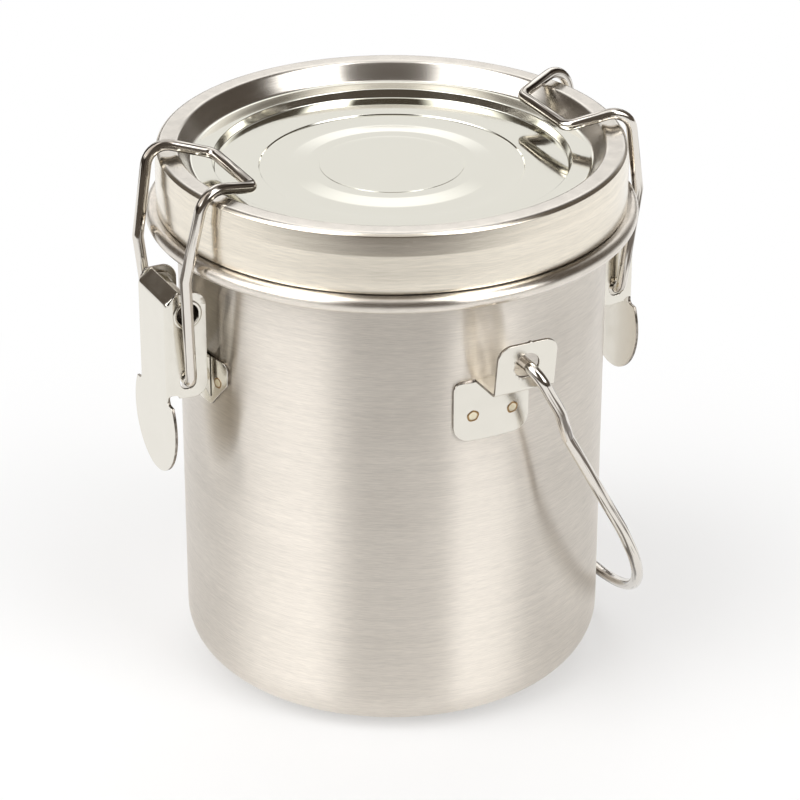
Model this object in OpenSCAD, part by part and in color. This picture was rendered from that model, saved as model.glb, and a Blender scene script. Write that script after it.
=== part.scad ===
// Round steel food canister: a drawn can with a folded bead, a pressed lid with a silicone
// gasket, two over-centre wire latches on the left and right, and a swinging wire bail.
// The origin is the middle of the base, +Z is up, the latches lie on X and the ears on Y.

/* [Canister] */
// Outer diameter of the can's wall
can_d = 120; // [110:1:130]
// Thickness of the can's sheet
can_wall = 0.7; // [0.5:0.1:0.9]
// Outer radius where the base turns into the wall
base_corner_r = 12; // [8:1:15]
// Height of the rim that presses into the gasket
rim_z = 150.2; // [150:0.1:150.3]
// Height of the bead's underside
bead_z = 133.6; // [132:0.1:133.6]
// How far the bead stands out from the wall
bead_out = 8.6; // [7:0.1:8.6]

/* [Lid] */
// Outer diameter of the lid's skirt
lid_d = 131; // [130.6:0.2:131]
// Thickness of the lid's sheet
lid_wall = 0.6; // [0.5:0.1:0.7]
// Height of the skirt's lower edge
skirt_z = 138.5; // [138.4:0.1:139]
// Height of the top of the raised ring
ring_z = 155.5; // [155:0.1:155.5]
// Height of the flat panel inside the ring
panel_z = 148; // [147.6:0.1:148.2]
// Radius of the outer circle pressed into the panel
emboss_outer_r = 36.9; // [34:0.5:39]
// Radius of the inner circle pressed into the panel
emboss_inner_r = 20.1; // [17:0.5:22]

/* [Latches] */
// Width of a lever across its cheeks
lever_w = 21; // [20:0.5:21]
// Thickness of a lever's sheet
lever_sheet = 0.9; // [0.7:0.1:1]
// Width of the oval thumb tab
tab_w = 28; // [24:1:30]
// Diameter of a latch wire
wire_d = 3.2; // [3:0.1:3.3]
// Outer diameter of the hollow hinge pin
pin_d = 7.2; // [6:0.1:7.2]
// Height of a latch wire at rest above the lid's ring
wire_gap = 0.7; // [0.6:0.05:0.8]

/* [Bail] */
// Diameter of the bail wire
bail_d = 3.3; // [3:0.1:3.5]
// Radius of the bail's round bow
bow_r = 75.5; // [75:0.5:78]
// Length from the hinge line to the start of the bow
arm_len = 47; // [45:1:47]
// Diameter of the hole in each ear
ear_hole_d = 7.4; // [6:0.1:8]
// Sideways offset of the ears' upright tabs from the middle
ear_offset = 3.3; // [0:0.1:3.5]

/* [Hidden] */
$fn = 96;
eps = 0.01;
big = 300;

can_r = can_d / 2;
lid_r = lid_d / 2;

// The bead is a fold of the sheet, as high as twice its outer bend
bead_bend_r = 2.25;
bead_h = 2 * bead_bend_r;
neck_r = 64.3;

// Lid section, as radius and height
dish_r = 44;
ledge_inner_r = 50.9;
ledge_outer_r = 54.1;
ledge_z = 150.5;
ring_inner_r = 60.4;
ring_outer_r = 63.9;
shoulder_z = 149.2;

// Gasket section inside the lid's ring
gasket_inner_r = 58.2;
gasket_outer_r = 64.5;
gasket_gap = 0.05;

// Latch, in its own frame: u outward from the can's axis, y across, z up
hinge_u = 67;
hinge_z = 120.4;
hook_u = 67.3;
hook_z = 100.4;
face_u = 73.2;
cheek_u = 61.5;
cheek_low_z = 95.2;
cheek_top_z = 126.6;
cheek_corner_r = 4.2;
lip_start_z = 123.6;
lip_end_u = 69.3;
lip_end_z = 126.5;
lever_bend_r = 2.1;
tab_mid_z = 86;
tab_half_h = 15.6;
tab_neck_z = 97;
notch_r = 1.5;
lip_thickening = 1.6;
lip_overlap = 0.8;
bracket_sheet = 0.8;
bracket_w = 33.6;
bracket_foot_w = 18;
bracket_low_z = 91.2;
bracket_waist_z = 99.5;
bracket_top_z = 105.9;
bracket_corner = 1.5;
bracket_ear_w = 18.6;
bracket_ear_r = 4.7;
bracket_root_low_z = 93.5;
bracket_root_top_z = 105.5;
pin_wall = 0.45;
pin_flange = 0.6;
pin_flange_t = 0.3;
pin_play = 0.05;
pin_clearance = 0.06;
hook_hole_r = 2.4;
wire_bend_r = 2.8;
wire_over_bend_r = 6;
wire_leg_y = 12.7;

// Corners of a latch wire; the last two are measured up from the top of the lid's ring
wire_knee = [69.7, 16.4, 133.5];
wire_over = [64.6, 19, 3.55];
wire_tip = [47.8, 13.2, -1.1];

// Ear, in its own frame: -Y outward
ear_sheet = 0.9;
ear_plate_w = 22.7;
ear_plate_low_z = 91.2;
ear_ledge_z = 109.7;
ear_plate_corner_r = 4.5;
ear_reach = 72;
ear_tab_w = 17.8;
ear_tab_top = 14.6;
ear_lean = 8;
ear_tab_corner_r = 4;
ear_hole_up = 7.6;
weld_r = 1.9;
weld_proud = 0.15;
ear_weld_x = 6;
ear_weld_z = 98.6;
bracket_weld_y = 12.6;
bracket_weld_z = 99;

// Bail: the hinge line runs through the middle of both ear holes
bail_hinge_z = 117.3;
bail_end_y = 67.2;
bail_out_y = 79.3;
bail_knee = 14;
bail_kink = 29;
bail_gap = 0.3;
bail_bend_r = 4;
bow_reach = arm_len + bow_r;
bail_tilt = asin((can_r + bail_d / 2 + bail_gap - ear_offset) / bow_reach);

steel = [0.77, 0.76, 0.74];
bright_steel = [0.84, 0.83, 0.81];
silicone = [0.93, 0.93, 0.91];
weld_tint = [0.72, 0.62, 0.5];

function unit(v) = v / norm(v);
function reversed(list) = [for (i = [len(list) - 1:-1:0]) list[i]];

// A section line moved to its right-hand side by d, to give a sheet its second face
function shifted(line, d) = [
    for (i = [0:len(line) - 1])
        let (
            before = line[max(i - 1, 0)],
            after = line[min(i + 1, len(line) - 1)],
            along = unit(after - before)
        )
            line[i] + d * [along[1], -along[0]]
];

// Points of a wire's route, with each inner corner rounded to its own radius in bends
function rounded(points, bends, steps = 4) = concat(
    [points[0]],
    [
        for (i = [1:len(points) - 2])
            let (
                bend = bends[i - 1],
                a = unit(points[i] - points[i - 1]),
                b = unit(points[i + 1] - points[i]),
                turn = acos(a * b),
                inward = unit(b - a),
                centre = points[i] + inward * bend / cos(turn / 2),
                side = unit(a + b)
            )
                for (k = [0:steps])
                    let (angle = turn * (k / steps - 0.5))
                        centre + bend * (sin(angle) * side - cos(angle) * inward)
    ],
    [points[len(points) - 1]]
);

// Round wire of radius r along a route; each ring is turned as little as possible from the last
module wire(route, r) {
    sides = 16;
    last = len(route) - 1;
    along = [for (i = [0:last]) unit(route[min(i + 1, last)] - route[max(i - 1, 0)])];
    start = unit(cross(along[0], abs(along[0][2]) < 0.9 ? [0, 0, 1] : [1, 0, 0]));
    across = [
        for (i = 0, v = start; i <= last; i = i + 1, v = i > last ? v : unit(v - (v * along[i]) * along[i])) v
    ];
    rings = [
        for (i = [0:last])
            for (k = [0:sides - 1])
                let (angle = 360 * k / sides)
                    route[i] + r * (cos(angle) * across[i] + sin(angle) * cross(along[i], across[i]))
    ];
    skin = [
        for (i = [0:last - 1])
            for (k = [0:sides - 1])
                let (m = (k + 1) % sides)
                    [i * sides + k, i * sides + m, (i + 1) * sides + m, (i + 1) * sides + k]
    ];
    first_end = [for (k = [sides - 1:-1:0]) k];
    last_end = [for (k = [0:sides - 1]) last * sides + k];
    polyhedron(rings, concat([first_end, last_end], skin));
}

// Solid drawn on the plane of u and z, standing from y = low to y = high
module across(low, high) {
    translate([0, high, 0]) rotate([90, 0, 0]) linear_extrude(high - low) children();
}

// Solid drawn on the plane of y and z, standing from x = low to x = high
module outward(low, high) {
    translate([low, 0, 0]) rotate([90, 0, 90]) linear_extrude(high - low) children();
}

// Part of a thin tube round the can's axis
module shell(inner, outer) {
    difference() {
        cylinder(r = outer, h = rim_z, $fn = 180);
        translate([0, 0, -eps]) cylinder(r = inner, h = rim_z + 2 * eps, $fn = 180);
    }
}

module rounded_square(low, high, r) {
    for (x = [low[0] + r, high[0] - r])
        for (y = [low[1] + r, high[1] - r])
            translate([x, y]) circle(r, $fn = 48);
    translate([low[0] + r, low[1]]) square([high[0] - low[0] - 2 * r, high[1] - low[1]]);
    translate([low[0], low[1] + r]) square([high[0] - low[0], high[1] - low[1] - 2 * r]);
}

// Canister ------------------------------------------------------------------

module can_section(inset) {
    corner = base_corner_r - inset;
    flat_r = can_r - base_corner_r;
    translate([flat_r, base_corner_r]) circle(corner);
    translate([0, inset]) square([flat_r, base_corner_r]);
    translate([0, base_corner_r]) square([can_r - inset, bead_z + bead_bend_r - base_corner_r]);
    translate([0, bead_z + inset]) square([can_r + bead_out - bead_bend_r, bead_h - 2 * inset]);
    translate([can_r + bead_out - bead_bend_r, bead_z + bead_bend_r]) circle(bead_bend_r - inset);
    translate([0, bead_z + bead_bend_r]) square([neck_r - inset, rim_z - bead_z - bead_bend_r + inset]);
}

module canister_body() {
    color(steel)
        rotate_extrude($fn = 180)
            intersection() {
                difference() {
                    can_section(0);
                    can_section(can_wall);
                }
                square([can_r + bead_out, rim_z]);
            }
}

function lid_line() = concat(
    [[0, panel_z + 0.3], [emboss_inner_r, panel_z + 0.3], [emboss_inner_r + 0.7, panel_z - 0.2]],
    [[emboss_inner_r + 4.4, panel_z - 0.7], [emboss_outer_r - 0.5, panel_z - 0.4], [emboss_outer_r, panel_z]],
    [[dish_r, panel_z], [dish_r + 2.8, panel_z + 0.25], [ledge_inner_r - 1.9, panel_z + 0.75]],
    [[ledge_inner_r - 1.4, ledge_z - 0.8], [ledge_inner_r - 0.9, ledge_z - 0.2], [ledge_inner_r, ledge_z]],
    [[ledge_outer_r, ledge_z], [ring_inner_r - 2.2, ring_z - 1], [ring_inner_r - 1.2, ring_z - 0.25]],
    [[ring_inner_r, ring_z], [ring_outer_r, ring_z], [ring_outer_r + 0.8, ring_z - 0.35]],
    [[ring_outer_r + 1.15, ring_z - 1.2], [lid_r - 0.1, shoulder_z + 2.3], [lid_r, shoulder_z]],
    [[lid_r, skirt_z]]
);

module lid() {
    color(bright_steel)
        rotate_extrude($fn = 180)
            polygon(concat(lid_line(), reversed(shifted(lid_line(), lid_wall))));
}

module lid_gasket() {
    low_z = rim_z + gasket_gap;
    color(silicone)
        rotate_extrude($fn = 180)
            polygon([
                [gasket_inner_r, low_z], [gasket_outer_r, low_z], [gasket_outer_r, shoulder_z + 2.3],
                [ring_outer_r + 0.2, ring_z - 1.5], [ring_outer_r - 0.5, ring_z - 0.75],
                [ring_inner_r + 0.2, ring_z - 0.75], [gasket_inner_r, ring_z - 2.7]
            ]);
}

// Latches -------------------------------------------------------------------

module bracket_plate_outline() {
    half = [
        [bracket_foot_w / 2, bracket_low_z], [bracket_w / 2 - 0.3, bracket_waist_z],
        [bracket_w / 2, bracket_top_z - bracket_corner], [bracket_w / 2 - bracket_corner, bracket_top_z]
    ];
    polygon(concat(half, [for (p = reversed(half)) [-p[0], p[1]]]));
}

module latch_bracket() {
    ear_in = bracket_ear_w / 2 - bracket_sheet;
    color(steel) {
        intersection() {
            shell(can_r, can_r + bracket_sheet);
            outward(can_r / 2, big) bracket_plate_outline();
        }
        difference() {
            for (low = [-bracket_ear_w / 2, ear_in])
                across(low, low + bracket_sheet) {
                    translate([hinge_u, hinge_z]) circle(bracket_ear_r);
                    polygon([
                        [can_r - 1, bracket_root_low_z], [can_r + 1.6, bracket_root_low_z + 3],
                        [hinge_u + 3.5, hinge_z - 3.1], [hinge_u, hinge_z], [hinge_u - 4.2, hinge_z + 2.1],
                        [can_r + 2.4, bracket_root_top_z + 1.5], [can_r - 1, bracket_root_top_z]
                    ]);
                }
            shell(0, can_r + eps);
            translate([hinge_u, 0, hinge_z]) rotate([90, 0, 0])
                cylinder(d = pin_d, h = lever_w * 2, center = true);
        }
    }
}

module bracket_welds() {
    color(weld_tint)
        intersection() {
            shell(can_r + bracket_sheet, can_r + bracket_sheet + weld_proud);
            for (y = [-bracket_weld_y, bracket_weld_y])
                translate([can_r / 2, y, bracket_weld_z]) rotate([0, 90, 0]) cylinder(r = weld_r, h = can_r);
        }
}

// Hollow pin with a flange outside each cheek of the lever
module latch_pin() {
    half = lever_w / 2 + pin_play;
    color(bright_steel)
        translate([hinge_u, 0, hinge_z]) rotate([90, 0, 0])
            difference() {
                union() {
                    cylinder(d = pin_d, h = 2 * (half + pin_flange_t), center = true);
                    for (side = [-1, 1])
                        translate([0, 0, side * (half + pin_flange_t / 2)])
                            cylinder(r = pin_d / 2 + pin_flange, h = pin_flange_t, center = true);
                }
                cylinder(r = pin_d / 2 - pin_wall, h = lever_w * 2, center = true);
            }
}

// Plan of the channel: a face and two cheeks, moved inward by inset
module lever_plan(inset) {
    half = lever_w / 2 - inset;
    face = face_u - inset;
    bend = lever_bend_r - inset;
    for (side = [-1, 1])
        translate([face - bend, side * (half - bend)]) circle(bend, $fn = 48);
    translate([cheek_u - 5, -half]) square([face - bend - cheek_u + 5, 2 * half]);
    translate([cheek_u - 5, -half + bend]) square([face - cheek_u + 5, 2 * (half - bend)]);
}

module lever_side() {
    translate([cheek_u + cheek_corner_r, cheek_low_z + cheek_corner_r]) circle(cheek_corner_r, $fn = 48);
    translate([cheek_u + cheek_corner_r, cheek_top_z - cheek_corner_r]) circle(cheek_corner_r, $fn = 48);
    polygon([
        [cheek_u, cheek_low_z + cheek_corner_r], [cheek_u + cheek_corner_r, cheek_low_z + cheek_corner_r],
        [cheek_u + cheek_corner_r, cheek_low_z], [face_u, cheek_low_z], [face_u, lip_start_z],
        [lip_end_u, lip_end_z], [lip_end_u - 0.4, cheek_top_z], [cheek_u + cheek_corner_r, cheek_top_z],
        [cheek_u + cheek_corner_r, cheek_top_z - cheek_corner_r], [cheek_u, cheek_top_z - cheek_corner_r]
    ]);
}

// The slanted lip along the top of the face
module lever_lip() {
    slope = unit([lip_end_u - face_u, lip_end_z - lip_start_z]);
    inner = lever_sheet * [-slope[1], slope[0]];
    start = [face_u, lip_start_z];
    end = [lip_end_u, lip_end_z];
    polygon([
        start, end, end + inner, start + lip_thickening * inner,
        start - [lever_sheet, lip_overlap], start - [0, lip_overlap]
    ]);
}

module thumb_tab() {
    intersection() {
        polygon([for (a = [0:7.5:352.5]) [tab_w / 2 * cos(a), tab_mid_z + tab_half_h * sin(a)]]);
        translate([-tab_w, 0]) square([2 * tab_w, tab_neck_z]);
    }
}

module latch_lever() {
    half = lever_w / 2;
    color(bright_steel)
        difference() {
            union() {
                intersection() {
                    translate([0, 0, cheek_low_z - 1])
                        linear_extrude(cheek_top_z - cheek_low_z + 3)
                            difference() {
                                lever_plan(0);
                                lever_plan(lever_sheet);
                            }
                    across(-half, half) lever_side();
                }
                intersection() {
                    translate([0, 0, cheek_low_z - 1])
                        linear_extrude(cheek_top_z - cheek_low_z + 3) lever_plan(0);
                    across(-half, half) lever_lip();
                }
                outward(face_u - lever_sheet, face_u) thumb_tab();
            }
            translate([hinge_u, 0, hinge_z]) rotate([90, 0, 0])
                cylinder(r = pin_d / 2 + pin_clearance, h = big, center = true);
            translate([hook_u, 0, hook_z]) rotate([90, 0, 0])
                cylinder(r = hook_hole_r, h = big, center = true);
            for (side = [-1, 1])
                translate([face_u - lever_bend_r, side * (half - 0.2), cheek_low_z])
                    rotate([0, 90, 0]) cylinder(r = notch_r, h = 10);
        }
}

// Wire loop: both ends turn inward through the cheeks, the middle hooks over the lid's ring
module latch_wire() {
    end_y = lever_w / 2 - lever_sheet - 0.5;
    over = wire_over + [0, 0, ring_z + wire_gap];
    tip = wire_tip + [0, 0, ring_z + wire_gap];
    half = [[hook_u, end_y, hook_z], [hook_u, wire_leg_y, hook_z], wire_knee, over, tip];
    flipped = [for (p = reversed(half)) [p[0], -p[1], p[2]]];
    bends = [wire_bend_r, wire_bend_r, wire_over_bend_r, wire_bend_r];
    color(bright_steel)
        wire(rounded(concat(half, flipped), concat(bends, reversed(bends))), wire_d / 2);
}

module left() {
    rotate([0, 0, 180]) children();
}

// Handle ears and bail --------------------------------------------------------

module handle_ear() {
    half = ear_plate_w / 2;
    tab_half = ear_tab_w / 2;
    color(steel) {
        // welded plate, bent to the can
        intersection() {
            shell(can_r, can_r + ear_sheet);
            translate([0, -can_r / 2, 0]) rotate([90, 0, 0])
                linear_extrude(can_r)
                    rounded_square([-half, ear_plate_low_z], [half, ear_ledge_z], ear_plate_corner_r);
        }
        // ledge
        difference() {
            translate([0, 0, ear_ledge_z - ear_sheet])
                linear_extrude(ear_sheet)
                    polygon([
                        [ear_offset - tab_half, -can_r + 3], [ear_offset - tab_half, -ear_reach],
                        [ear_offset + tab_half, -ear_reach], [ear_offset + tab_half, -can_r - 4],
                        [half - 2.5, -can_r - 0.5], [half - 2.5, -can_r + 3]
                    ]);
            shell(0, can_r);
        }
        // upright tab with the hole for the bail
        translate([ear_offset, ear_sheet - ear_reach, ear_ledge_z - ear_sheet]) rotate([90 + ear_lean, 0, 0])
            difference() {
                linear_extrude(ear_sheet) {
                    rounded_square([-tab_half, 3], [tab_half, ear_tab_top + ear_sheet], ear_tab_corner_r);
                    translate([-tab_half, 0]) square([ear_tab_w, ear_tab_top / 2]);
                }
                translate([0, ear_hole_up + ear_sheet, -1]) cylinder(d = ear_hole_d, h = 4);
            }
    }
}

module ear_welds() {
    color(weld_tint)
        intersection() {
            shell(can_r + ear_sheet, can_r + ear_sheet + weld_proud);
            for (x = [-ear_weld_x, ear_weld_x])
                translate([x, -can_r / 2, ear_weld_z]) rotate([90, 0, 0]) cylinder(r = weld_r, h = can_r);
        }
}

module rear() {
    mirror([0, 1, 0]) children();
}

// Drawn flat with the hinge line on Y and the bow along +X, then tilted to rest on the can
module bail_handle() {
    arm = rounded([
        [0, bail_end_y, 0], [0, bail_out_y, 0], [bail_knee, bail_out_y, 0],
        [bail_kink, bow_r, 0], [arm_len, bow_r, 0]
    ], [bail_bend_r, bail_bend_r, bail_bend_r]);
    bow = [for (a = [86:-4:-86]) [arm_len + bow_r * cos(a), bow_r * sin(a), 0]];
    other_arm = [for (p = reversed(arm)) [p[0], -p[1], 0]];
    color(bright_steel)
        translate([ear_offset, 0, bail_hinge_z]) rotate([0, 90 - bail_tilt, 0])
            wire(concat(arm, bow, other_arm), bail_d / 2);
}

canister_body();
lid();
lid_gasket();
left() latch_bracket();  // left_latch_bracket
left() bracket_welds();  // left_bracket_welds
left() latch_pin();  // left_latch_pin
left() latch_lever();  // left_latch_lever
left() latch_wire();  // left_latch_wire
latch_bracket();  // right_latch_bracket
bracket_welds();  // right_bracket_welds
latch_pin();  // right_latch_pin
latch_lever();  // right_latch_lever
latch_wire();  // right_latch_wire
handle_ear();  // front_handle_ear
ear_welds();  // front_ear_welds
rear() handle_ear();  // rear_handle_ear
rear() ear_welds();  // rear_ear_welds
bail_handle();
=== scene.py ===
import math
import bmesh
import bpy
from mathutils import Matrix, Vector


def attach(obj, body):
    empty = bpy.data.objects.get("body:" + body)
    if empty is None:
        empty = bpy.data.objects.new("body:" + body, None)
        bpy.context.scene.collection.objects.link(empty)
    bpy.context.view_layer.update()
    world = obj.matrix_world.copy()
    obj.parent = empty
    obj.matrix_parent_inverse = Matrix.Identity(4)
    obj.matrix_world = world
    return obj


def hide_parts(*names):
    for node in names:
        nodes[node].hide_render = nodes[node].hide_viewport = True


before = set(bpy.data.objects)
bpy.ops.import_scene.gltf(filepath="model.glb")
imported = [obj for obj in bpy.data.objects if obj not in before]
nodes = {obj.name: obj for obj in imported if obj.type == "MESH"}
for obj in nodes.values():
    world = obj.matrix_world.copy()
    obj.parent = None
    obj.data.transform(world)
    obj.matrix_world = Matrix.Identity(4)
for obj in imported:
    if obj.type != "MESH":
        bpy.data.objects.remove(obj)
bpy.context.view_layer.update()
mm = 0.001
sides = (("left", -1), ("right", 1))
print("frame loaded:", len(nodes), "nodes")


def linear(hexColour):
    parts = [int(hexColour[i:i + 2], 16) / 255 for i in (1, 3, 5)]
    return tuple(p / 12.92 if p <= 0.04045 else ((p + 0.055) / 1.055) ** 2.4 for p in parts) + (1.0,)


def addNode(tree, kind, settings=None, links=None):
    # a link comes from a socket, or from the first output of a node
    node = tree.nodes.new(kind)
    for key, value in (settings or {}).items():
        if isinstance(key, int) or key in node.inputs:
            node.inputs[key].default_value = value
        else:
            setattr(node, key, value)
    for key, source in (links or {}).items():
        socket = source.outputs[0] if isinstance(source, bpy.types.Node) else source
        tree.links.new(socket, node.inputs[key])
    return node


def rampStops(node, stops):
    ramp = node.color_ramp
    while len(ramp.elements) < len(stops):
        ramp.elements.new(0.5)
    for element, (place, colour) in zip(ramp.elements, stops):
        element.position = place
        element.color = linear(colour)


def newObject(name, data):
    made = bpy.data.objects.new(name, data)
    bpy.context.scene.collection.objects.link(made)
    return made


def meshObject(name, vertices, faces, edges=()):
    mesh = bpy.data.meshes.new(name)
    mesh.from_pydata([Vector(v) for v in vertices], list(edges), list(faces))
    return newObject(name, mesh)


def bakeModifiers(made):
    bpy.context.view_layer.update()
    graph = bpy.context.evaluated_depsgraph_get()
    mesh = bpy.data.meshes.new_from_object(made.evaluated_get(graph))
    mesh.name = made.name
    made.modifiers.clear()
    old = made.data
    made.data = mesh
    if isinstance(old, bpy.types.Mesh):
        bpy.data.meshes.remove(old)
    return made


def weldSeams(made, distance=1e-6):
    work = bmesh.new()
    work.from_mesh(made.data)
    bmesh.ops.remove_doubles(work, verts=work.verts, dist=distance)
    bmesh.ops.recalc_face_normals(work, faces=work.faces)
    work.to_mesh(made.data)
    work.free()
    return made


def smoothShade(made, angle=35):
    made.data.polygons.foreach_set("use_smooth", [True] * len(made.data.polygons))
    work = bmesh.new()
    work.from_mesh(made.data)
    for edge in work.edges:
        if len(edge.link_faces) == 2 and edge.calc_face_angle(0) > math.radians(angle):
            edge.smooth = False
    work.to_mesh(made.data)
    work.free()
    return made


def flattenNormals(made):
    # keeps flat sheet flat beside its rounded edges
    weighted = made.modifiers.new("weighted", "WEIGHTED_NORMAL")
    weighted.keep_sharp = True
    weighted.weight = 100
    return bakeModifiers(made)


def newTree(name, inputs):
    tree = bpy.data.node_groups.new(name, "GeometryNodeTree")
    tree.interface.new_socket("Geometry", in_out="INPUT", socket_type="NodeSocketGeometry")
    for label, kind, value in inputs:
        socket = tree.interface.new_socket(label, in_out="INPUT", socket_type=kind)
        if value is not None:
            socket.default_value = value
    tree.interface.new_socket("Geometry", in_out="OUTPUT", socket_type="NodeSocketGeometry")
    return tree, tree.nodes.new("NodeGroupInput"), tree.nodes.new("NodeGroupOutput")


def closeTree(tree, start, end, geometry):
    real = addNode(tree, "GeometryNodeRealizeInstances", {}, {"Geometry": geometry})
    finish = addNode(tree, "GeometryNodeSetMaterial", {}, {
        "Geometry": real, "Material": start.outputs["Finish"]})
    tree.links.new(finish.outputs["Geometry"], end.inputs["Geometry"])
    return tree


def runTree(made, tree, values):
    modifier = made.modifiers.new(tree.name, "NODES")
    modifier.node_group = tree
    for item in tree.interface.items_tree:
        if item.item_type == "SOCKET" and item.in_out == "INPUT" and item.name in values:
            modifier[item.identifier] = values[item.name]
    return bakeModifiers(made)


def turnedTree():
    # a section line swept round the can's axis, as a spinning tool would form it
    tree, start, end = newTree("turned", [
        ("Path radius", "NodeSocketFloat", 0.06), ("Steps", "NodeSocketInt", 256),
        ("Finish", "NodeSocketMaterial", None)])
    circle = addNode(tree, "GeometryNodeCurvePrimitiveCircle", {}, {
        "Resolution": start.outputs["Steps"], "Radius": start.outputs["Path radius"]})
    upright = addNode(tree, "GeometryNodeSetCurveNormal", {"mode": "Z_UP"}, {"Curve": circle})
    section = addNode(tree, "GeometryNodeMeshToCurve", {}, {"Mesh": start.outputs["Geometry"]})
    swept = addNode(tree, "GeometryNodeCurveToMesh", {}, {"Curve": upright, "Profile Curve": section})
    merged = addNode(tree, "GeometryNodeMergeByDistance", {"Distance": 1e-6}, {"Geometry": swept})
    return closeTree(tree, start, end, merged)


def wireTree():
    # a bent wire: the route's corners are rounded, then a round section is drawn along it
    tree, start, end = newTree("bentWire", [
        ("Wire radius", "NodeSocketFloat", 0.0016), ("Bend steps", "NodeSocketInt", 10),
        ("Sides", "NodeSocketInt", 32), ("Finish", "NodeSocketMaterial", None)])
    route = addNode(tree, "GeometryNodeMeshToCurve", {}, {"Mesh": start.outputs["Geometry"]})
    bend = addNode(tree, "GeometryNodeInputNamedAttribute", {"data_type": "FLOAT", "Name": "bendRadius"})
    bent = addNode(tree, "GeometryNodeFilletCurve", {"mode": "POLY", "Limit Radius": True}, {
        "Curve": route, "Radius": bend.outputs["Attribute"], "Count": start.outputs["Bend steps"]})
    place = addNode(tree, "GeometryNodeSplineParameter")
    marked = addNode(tree, "GeometryNodeStoreNamedAttribute", {
        "data_type": "FLOAT", "domain": "POINT", "Name": "alongWire"}, {
        "Geometry": bent, "Value": place.outputs["Length"]})
    circle = addNode(tree, "GeometryNodeCurvePrimitiveCircle", {}, {
        "Resolution": start.outputs["Sides"], "Radius": start.outputs["Wire radius"]})
    rim = addNode(tree, "GeometryNodeInputPosition")
    ring = addNode(tree, "GeometryNodeStoreNamedAttribute", {
        "data_type": "FLOAT_VECTOR", "domain": "POINT", "Name": "roundWire"}, {
        "Geometry": circle, "Value": rim.outputs["Position"]})
    swept = addNode(tree, "GeometryNodeCurveToMesh", {"Fill Caps": True}, {
        "Curve": marked, "Profile Curve": ring})
    return closeTree(tree, start, end, swept)


def weldTree():
    # one pressed weld mark, set on every point that carries one
    tree, start, end = newTree("spotWelds", [
        ("Mark", "NodeSocketObject", None), ("Finish", "NodeSocketMaterial", None)])
    mark = addNode(tree, "GeometryNodeObjectInfo", {}, {"Object": start.outputs["Mark"]})
    turn = addNode(tree, "GeometryNodeInputNamedAttribute", {"data_type": "FLOAT_VECTOR", "Name": "turn"})
    points = addNode(tree, "GeometryNodeMeshToPoints", {}, {"Mesh": start.outputs["Geometry"]})
    placed = addNode(tree, "GeometryNodeInstanceOnPoints", {}, {
        "Points": points, "Instance": mark.outputs["Geometry"], "Rotation": turn.outputs["Attribute"]})
    return closeTree(tree, start, end, placed)


turned = turnedTree()
bentWire = wireTree()
spotWelds = weldTree()
print("node trees built")


def newMaterial(name):
    material = bpy.data.materials.new(name)
    material.use_nodes = True
    material.node_tree.nodes.clear()
    return material, material.node_tree


def closeMaterial(material, settings, links):
    # steel, unless the settings say otherwise
    shader = addNode(material.node_tree, "ShaderNodeBsdfPrincipled", {"Metallic": 1.0, **settings}, links)
    addNode(material.node_tree, "ShaderNodeOutputMaterial", {}, {"Surface": shader})
    return material


def hazeRange(tree, look, low, noise):
    dull, duller = [look["roughness"] + part for part in look["haze"]]
    return addNode(tree, "ShaderNodeMapRange", {1: low, 2: 0.75, 3: dull, 4: duller}, {0: noise})


def brushLines(tree, place, height, length, detail):
    # noise drawn out along the brushing: far coarser round the can than up it, sizes in mm
    stretch = addNode(tree, "ShaderNodeMapping", {
        "vector_type": "POINT", "Scale": (1 / (length * mm), 1 / (length * mm), 1 / (height * mm))}, {
        "Vector": place})
    return addNode(tree, "ShaderNodeTexNoise", {"Scale": 1.0, "Detail": detail, "Roughness": 0.6}, {
        "Vector": stretch})


# 304 stainless, drawn to shape and brushed round with a fine belt: hairlines run level, and
# what it mirrors is smeared up and down into soft upright bands; the rolled bead is smoother.
# Real hairlines are 0.05 mm wide: they are drawn four times as wide, so that they show
canFinish = {"colour": "#ede6dc", "roughness": 0.33, "beadRoughness": 0.24, "beadFrom": 132.6,
             "anisotropy": 1.0, "lineWidth": 0.2, "lineLength": 4.0, "lineDepth": 0.012, "tone": 0.22,
             "bandWidth": 1.4, "band": 0.015}
# the lid's skirt is brushed the same way on the lathe, in wider level bands, and has no bead
skirtFinish = {"colour": "#f6eedf", "roughness": 0.23, "beadRoughness": 0.23, "beadFrom": 200.0,
               "anisotropy": 0.8, "lineWidth": 0.2, "lineLength": 5.0, "lineDepth": 0.012, "tone": 0.18,
               "bandWidth": 2.6, "band": 0.07}
# the ring on top was wiped over after brushing: a shade greyer
ringFinish = dict(skirtFinish, colour="#dfdad2")
# the belt's own passes, the same on all three: broad faint lines under the hairlines, and a slow
# change in how dull the steel is. The ranges are how far each noise swings
belt = {"width": 0.9, "length": 120.0, "share": 0.35, "lineRange": (0.425, 0.925), "middleTone": 0.97,
        "bandRange": (0.35, 0.65), "cloudScale": 38.0, "cloudRange": (0.3, 0.7), "drift": 0.02,
        "bump": 0.12}


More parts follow.
